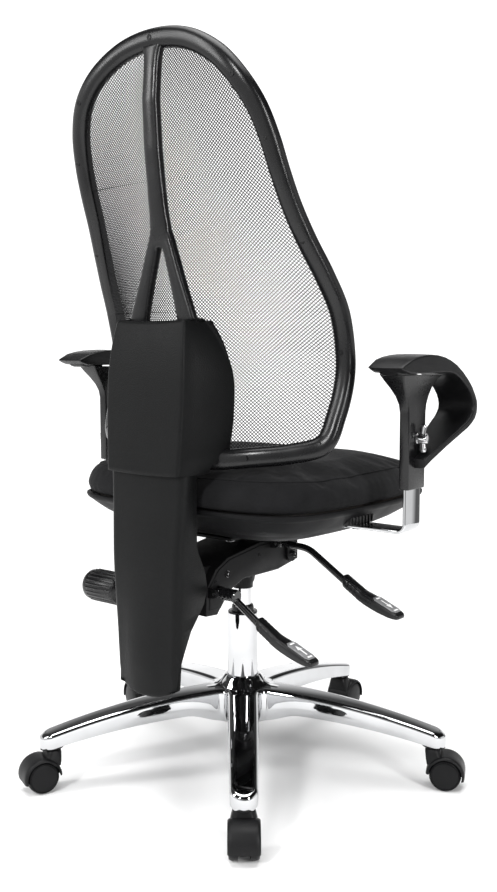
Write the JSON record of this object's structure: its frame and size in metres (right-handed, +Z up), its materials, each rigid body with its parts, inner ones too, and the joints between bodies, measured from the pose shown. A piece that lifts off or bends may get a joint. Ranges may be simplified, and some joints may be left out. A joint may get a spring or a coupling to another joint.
{
  "type": "swivel office chair",
  "caption": "Height-adjustable swivel office chair with a tall net back, loop armrests, synchronous tilt and a chromed five-star base on castors.",
  "frame": {"origin": "on the floor, on the swivel axis of the five-star base", "axes": "+Z up, the chair faces -Y, +X is the sitter's left"},
  "size_m": [0.7116, 0.688, 1.1436],
  "materials": {
    "chrome": "polished chrome plate",
    "polished_steel": "bright chromed steel",
    "steel": "zinc plated steel",
    "black_steel": "satin black powder coat",
    "black_lever": "gloss black coated rod",
    "black_plastic": "moulded black, semi matt",
    "grained_plastic": "black with a fine leather grain",
    "castor_plastic": "matt black nylon",
    "wheel_plastic": "soft black tread",
    "arm_pad": "soft black polyurethane",
    "plywood": "raw beech plywood",
    "seat_fabric": "black woven upholstery",
    "net": "open black net"
  },
  "bodies": {
    "base": {"star_base": "chrome", "castor_sockets": "black_plastic", "gas_tube": "chrome", "tube_guide": "black_plastic"},
    "castor_1": {"castor_hood_1": "castor_plastic", "castor_pins_1": "steel"},
    "wheel_left_1": {"wheel_left_1": "wheel_plastic"},
    "wheel_right_1": {"wheel_right_1": "wheel_plastic"},
    "castor_2": {"castor_hood_2": "castor_plastic", "castor_pins_2": "steel"},
    "wheel_left_2": {"wheel_left_2": "wheel_plastic"},
    "wheel_right_2": {"wheel_right_2": "wheel_plastic"},
    "castor_3": {"castor_hood_3": "castor_plastic", "castor_pins_3": "steel"},
    "wheel_left_3": {"wheel_left_3": "wheel_plastic"},
    "wheel_right_3": {"wheel_right_3": "wheel_plastic"},
    "castor_4": {"castor_hood_4": "castor_plastic", "castor_pins_4": "steel"},
    "wheel_left_4": {"wheel_left_4": "wheel_plastic"},
    "wheel_right_4": {"wheel_right_4": "wheel_plastic"},
    "castor_5": {"castor_hood_5": "castor_plastic", "castor_pins_5": "steel"},
    "wheel_left_5": {"wheel_left_5": "wheel_plastic"},
    "wheel_right_5": {"wheel_right_5": "wheel_plastic"},
    "lift_core": {"lift_rod": "steel"},
    "mechanism": {"gas_cylinder": "polished_steel", "mech_housing": "black_steel", "mech_pins": "steel", "tilt_spring": "steel"},
    "tension_knob": {"tension_knob": "black_plastic", "tension_spindle": "steel"},
    "height_lever": {"height_lever_rod": "black_lever", "height_lever_paddle": "black_plastic"},
    "lock_lever": {"lock_lever_rod": "black_lever", "lock_lever_paddle": "black_plastic"},
    "seat": {"seat_plate": "black_steel", "seat_shell": "black_plastic", "seat_board": "plywood", "seat_cushion": "seat_fabric", "arm_brackets": "black_plastic", "seat_bolts": "steel", "arm_strap_right": "polished_steel", "arm_strap_left": "polished_steel"},
    "back_column": {"back_carrier": "black_steel", "column_cover_rear": "grained_plastic", "column_cover_front": "grained_plastic"},
    "backrest": {"lumbar_cover": "grained_plastic", "lumbar_panel": "black_plastic", "back_frame": "black_plastic", "back_spine": "black_plastic", "back_mesh": "net", "frame_screws": "steel"},
    "armrest_right": {"arm_sleeve_right": "black_plastic", "arm_pad_right": "arm_pad"},
    "arm_clamp_right": {"clamp_knob_right": "polished_steel", "clamp_stud_right": "steel"},
    "armrest_left": {"arm_sleeve_left": "black_plastic", "arm_pad_left": "arm_pad"},
    "arm_clamp_left": {"clamp_knob_left": "polished_steel", "clamp_stud_left": "steel"}
  },
  "joints": [
    {"name": "castor_swivel_1", "type": "hinge", "parent": "base", "child": "castor_1", "pos_m": [-0.201, 0.24383, 0.06], "axis": [0, 0, 1], "continuous": true},
    {"name": "wheel_left_1_spin", "type": "hinge", "parent": "castor_1", "child": "wheel_left_1", "pos_m": [-0.21372, 0.25927, 0.025], "axis": [-0.7716, -0.6361, 0], "continuous": true},
    {"name": "wheel_right_1_spin", "type": "hinge", "parent": "castor_1", "child": "wheel_right_1", "pos_m": [-0.21372, 0.25927, 0.025], "axis": [-0.7716, -0.6361, 0], "continuous": true},
    {"name": "castor_swivel_2", "type": "hinge", "parent": "base", "child": "castor_2", "pos_m": [-0.29401, -0.11581, 0.06], "axis": [0, 0, 1], "continuous": true},
    {"name": "wheel_left_2_spin", "type": "hinge", "parent": "castor_2", "child": "wheel_left_2", "pos_m": [-0.31206, -0.12442, 0.025], "axis": [0.4305, -0.9026, 0], "continuous": true},
    {"name": "wheel_right_2_spin", "type": "hinge", "parent": "castor_2", "child": "wheel_right_2", "pos_m": [-0.31206, -0.12442, 0.025], "axis": [0.4305, -0.9026, 0], "continuous": true},
    {"name": "castor_swivel_3", "type": "hinge", "parent": "base", "child": "castor_3", "pos_m": [0.01929, -0.31541, 0.06], "axis": [0, 0, 1], "continuous": true},
    {"name": "wheel_left_3_spin", "type": "hinge", "parent": "castor_3", "child": "wheel_left_3", "pos_m": [0.02051, -0.33537, 0.025], "axis": [0.9981, 0.061, 0], "continuous": true},
    {"name": "wheel_right_3_spin", "type": "hinge", "parent": "castor_3", "child": "wheel_right_3", "pos_m": [0.02051, -0.33537, 0.025], "axis": [0.9981, 0.061, 0], "continuous": true},
    {"name": "castor_swivel_4", "type": "hinge", "parent": "base", "child": "castor_4", "pos_m": [0.30594, -0.07912, 0.06], "axis": [0, 0, 1], "continuous": true},
    {"name": "wheel_left_4_spin", "type": "hinge", "parent": "castor_4", "child": "wheel_left_4", "pos_m": [0.32454, -0.08645, 0.025], "axis": [0.3665, 0.9304, 0], "continuous": true},
    {"name": "wheel_right_4_spin", "type": "hinge", "parent": "castor_4", "child": "wheel_right_4", "pos_m": [0.32454, -0.08645, 0.025], "axis": [0.3665, 0.9304, 0], "continuous": true},
    {"name": "castor_swivel_5", "type": "hinge", "parent": "base", "child": "castor_5", "pos_m": [0.16979, 0.26651, 0.06], "axis": [0, 0, 1], "continuous": true},
    {"name": "wheel_left_5_spin", "type": "hinge", "parent": "castor_5", "child": "wheel_left_5", "pos_m": [0.17776, 0.28485, 0.025], "axis": [-0.9171, 0.3987, 0], "continuous": true},
    {"name": "wheel_right_5_spin", "type": "hinge", "parent": "castor_5", "child": "wheel_right_5", "pos_m": [0.17776, 0.28485, 0.025], "axis": [-0.9171, 0.3987, 0], "continuous": true},
    {"name": "seat_swivel", "type": "hinge", "parent": "base", "child": "lift_core", "pos_m": [0, 0, 0.062], "axis": [0, 0, 1], "continuous": true},
    {"name": "seat_height", "type": "slide", "parent": "lift_core", "child": "mechanism", "axis": [0, 0, 1], "range_m": [-0.02, 0.09]},
    {"name": "tension_turn", "type": "hinge", "parent": "mechanism", "child": "tension_knob", "pos_m": [0.15, 0.136, 0.298], "axis": [1, 0, 0], "continuous": true},
    {"name": "height_lever_lift", "type": "hinge", "parent": "mechanism", "child": "height_lever", "pos_m": [-0.062, -0.02, 0.377], "axis": [0, 1, 0], "range_deg": [0, 8], "stiffness_Nm_per_rad": 4, "springref_deg": -6.88},
    {"name": "lock_lever_turn", "type": "hinge", "parent": "mechanism", "child": "lock_lever", "pos_m": [-0.062, 0.132, 0.323], "axis": [0, 1, 0], "range_deg": [-10, 0]},
    {"name": "back_recline", "type": "hinge", "parent": "mechanism", "child": "back_column", "pos_m": [0, 0.1, 0.345], "axis": [-1, 0, 0], "range_deg": [0, 16], "stiffness_Nm_per_rad": 110, "springref_deg": -20.05},
    {"name": "seat_tilt", "type": "hinge", "parent": "mechanism", "child": "seat", "pos_m": [0, -0.062, 0.352], "axis": [-1, 0, 0], "range_deg": [0, 6.4]},
    {"name": "back_height", "type": "slide", "parent": "back_column", "child": "backrest", "axis": [0, -0.0523, 0.9986], "range_m": [0, 0.07]},
    {"name": "arm_height_right", "type": "slide", "parent": "seat", "child": "armrest_right", "axis": [0, 0, 1], "range_m": [-0.04, 0.06]},
    {"name": "arm_clamp_turn_right", "type": "hinge", "parent": "armrest_right", "child": "arm_clamp_right", "pos_m": [-0.33, -0.009, 0.563], "axis": [1, 0, 0], "range_deg": [-180, 180]},
    {"name": "arm_height_left", "type": "slide", "parent": "seat", "child": "armrest_left", "axis": [0, 0, 1], "range_m": [-0.04, 0.06]},
    {"name": "arm_clamp_turn_left", "type": "hinge", "parent": "armrest_left", "child": "arm_clamp_left", "pos_m": [0.33, -0.009, 0.563], "axis": [1, 0, 0], "range_deg": [-180, 180]}
  ],
  "couplings": [
    {"joint": "seat_tilt", "follows": "back_recline", "ratio": 0.4}
  ]
}
